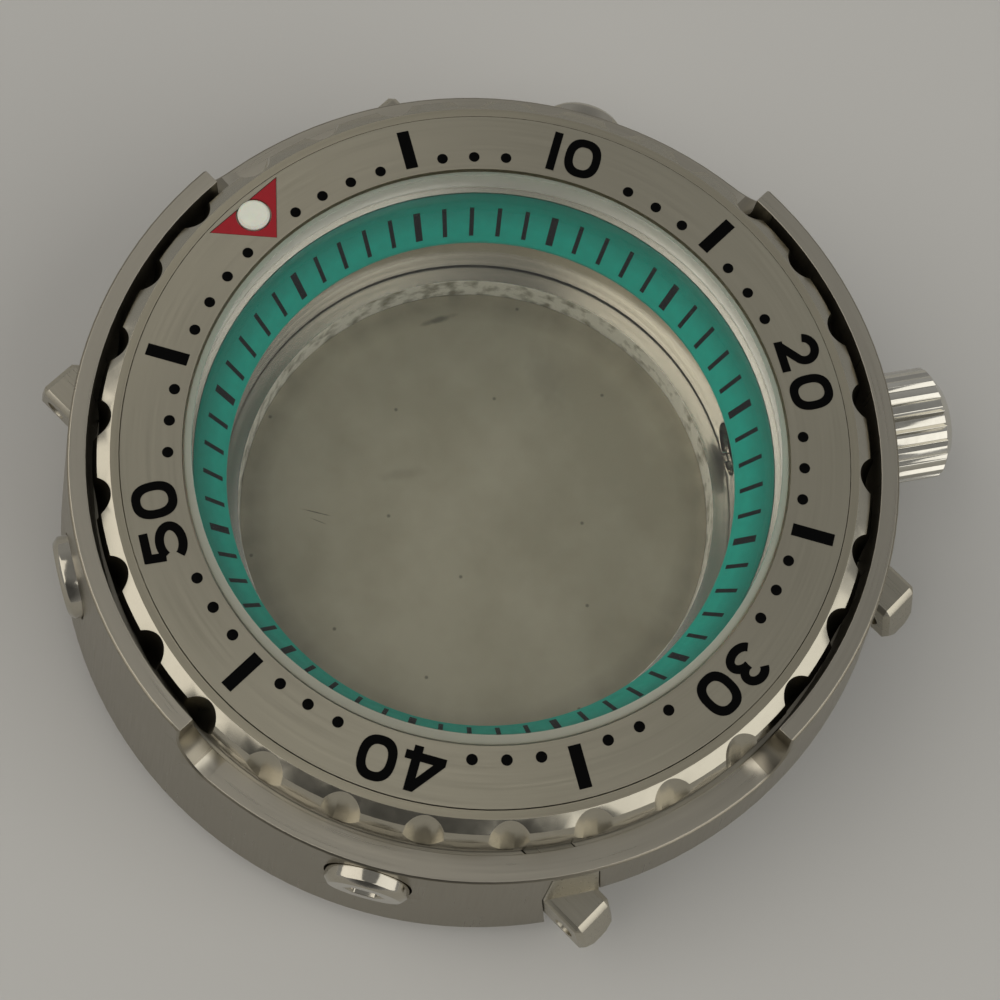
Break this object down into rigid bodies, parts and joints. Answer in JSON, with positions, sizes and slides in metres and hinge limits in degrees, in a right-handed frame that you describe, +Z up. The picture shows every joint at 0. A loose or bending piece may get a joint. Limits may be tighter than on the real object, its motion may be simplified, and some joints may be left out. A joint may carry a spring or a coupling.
{
  "type": "empty watch case",
  "caption": "Round steel diver's watch case with a click bezel, guard ring, flat glass, screw-down crown and screw-in back.",
  "frame": {"origin": "on the case's axis, at the flat outer face of the back", "axes": "+Z up through the glass, +Y to 12 o'clock, +X to 3 o'clock"},
  "size_m": [0.0472, 0.0454, 0.0143],
  "materials": {
    "case_steel": "brushed, bevels polished",
    "shroud_steel": "brushed round the axis on top and upright on the wall",
    "screw_steel": "turned and polished",
    "glass": "polished",
    "gasket_nylon": "turned",
    "chapter_paint": "satin lacquer with printed minute marks",
    "spring_steel": "rolled",
    "tube_steel": "turned",
    "seal_rubber": "matte",
    "bezel_steel": "polished",
    "insert_steel": "brushed, printed with black minute marks and numerals",
    "lume": "smooth",
    "crown_steel": "polished",
    "back_steel": "turned, plain",
    "plate_steel": "ground dull, with faint smudges inside"
  },
  "bodies": {
    "case": {"mid_case": "case_steel", "shroud": "shroud_steel", "shroud_screws": "screw_steel", "crystal": "glass", "crystal_gasket": "gasket_nylon", "chapter_ring": "chapter_paint", "click_spring": "spring_steel", "crown_tube": "tube_steel", "tube_gasket": "seal_rubber"},
    "bezel": {"bezel_ring": "bezel_steel", "bezel_insert": "insert_steel", "lume_pip": "lume", "bezel_snap_ring": "spring_steel"},
    "post": {"crown_post": "tube_steel", "crown_spring": "spring_steel"},
    "crown_seal": {"crown_gasket": "seal_rubber"},
    "crown": {"crown": "crown_steel", "crown_retainer": "tube_steel"},
    "back_seal": {"caseback_gasket": "seal_rubber"},
    "back": {"caseback": "back_steel", "back_plate": "plate_steel"}
  },
  "joints": [
    {"name": "bezel_turn", "type": "hinge", "parent": "case", "child": "bezel", "pos_m": [0, 0, 0.0105], "axis": [0, 0, 1], "continuous": true},
    {"name": "crown_pull", "type": "slide", "parent": "case", "child": "post", "axis": [0.8329, -0.5534, 0], "range_m": [0, 0.0085]},
    {"name": "crown_thread", "type": "slide", "parent": "post", "child": "crown_seal", "axis": [0.8329, -0.5534, 0], "range_m": [0, 0.00105]},
    {"name": "crown_turn", "type": "hinge", "parent": "crown_seal", "child": "crown", "pos_m": [0.01899, -0.01262, 0.005], "axis": [0.8329, -0.5534, 0], "range_deg": [0, 1100]},
    {"name": "caseback_thread", "type": "slide", "parent": "case", "child": "back_seal", "axis": [0, 0, -1], "range_m": [0, 0.0035]},
    {"name": "caseback_turn", "type": "hinge", "parent": "back_seal", "child": "back", "pos_m": [0, 0, 0], "axis": [0, 0, -1], "range_deg": [0, 2540]}
  ],
  "couplings": [
    {"joint": "crown_turn", "follows": "crown_thread", "rad_per_m": 17952},
    {"joint": "caseback_turn", "follows": "caseback_thread", "rad_per_m": 12566}
  ]
}
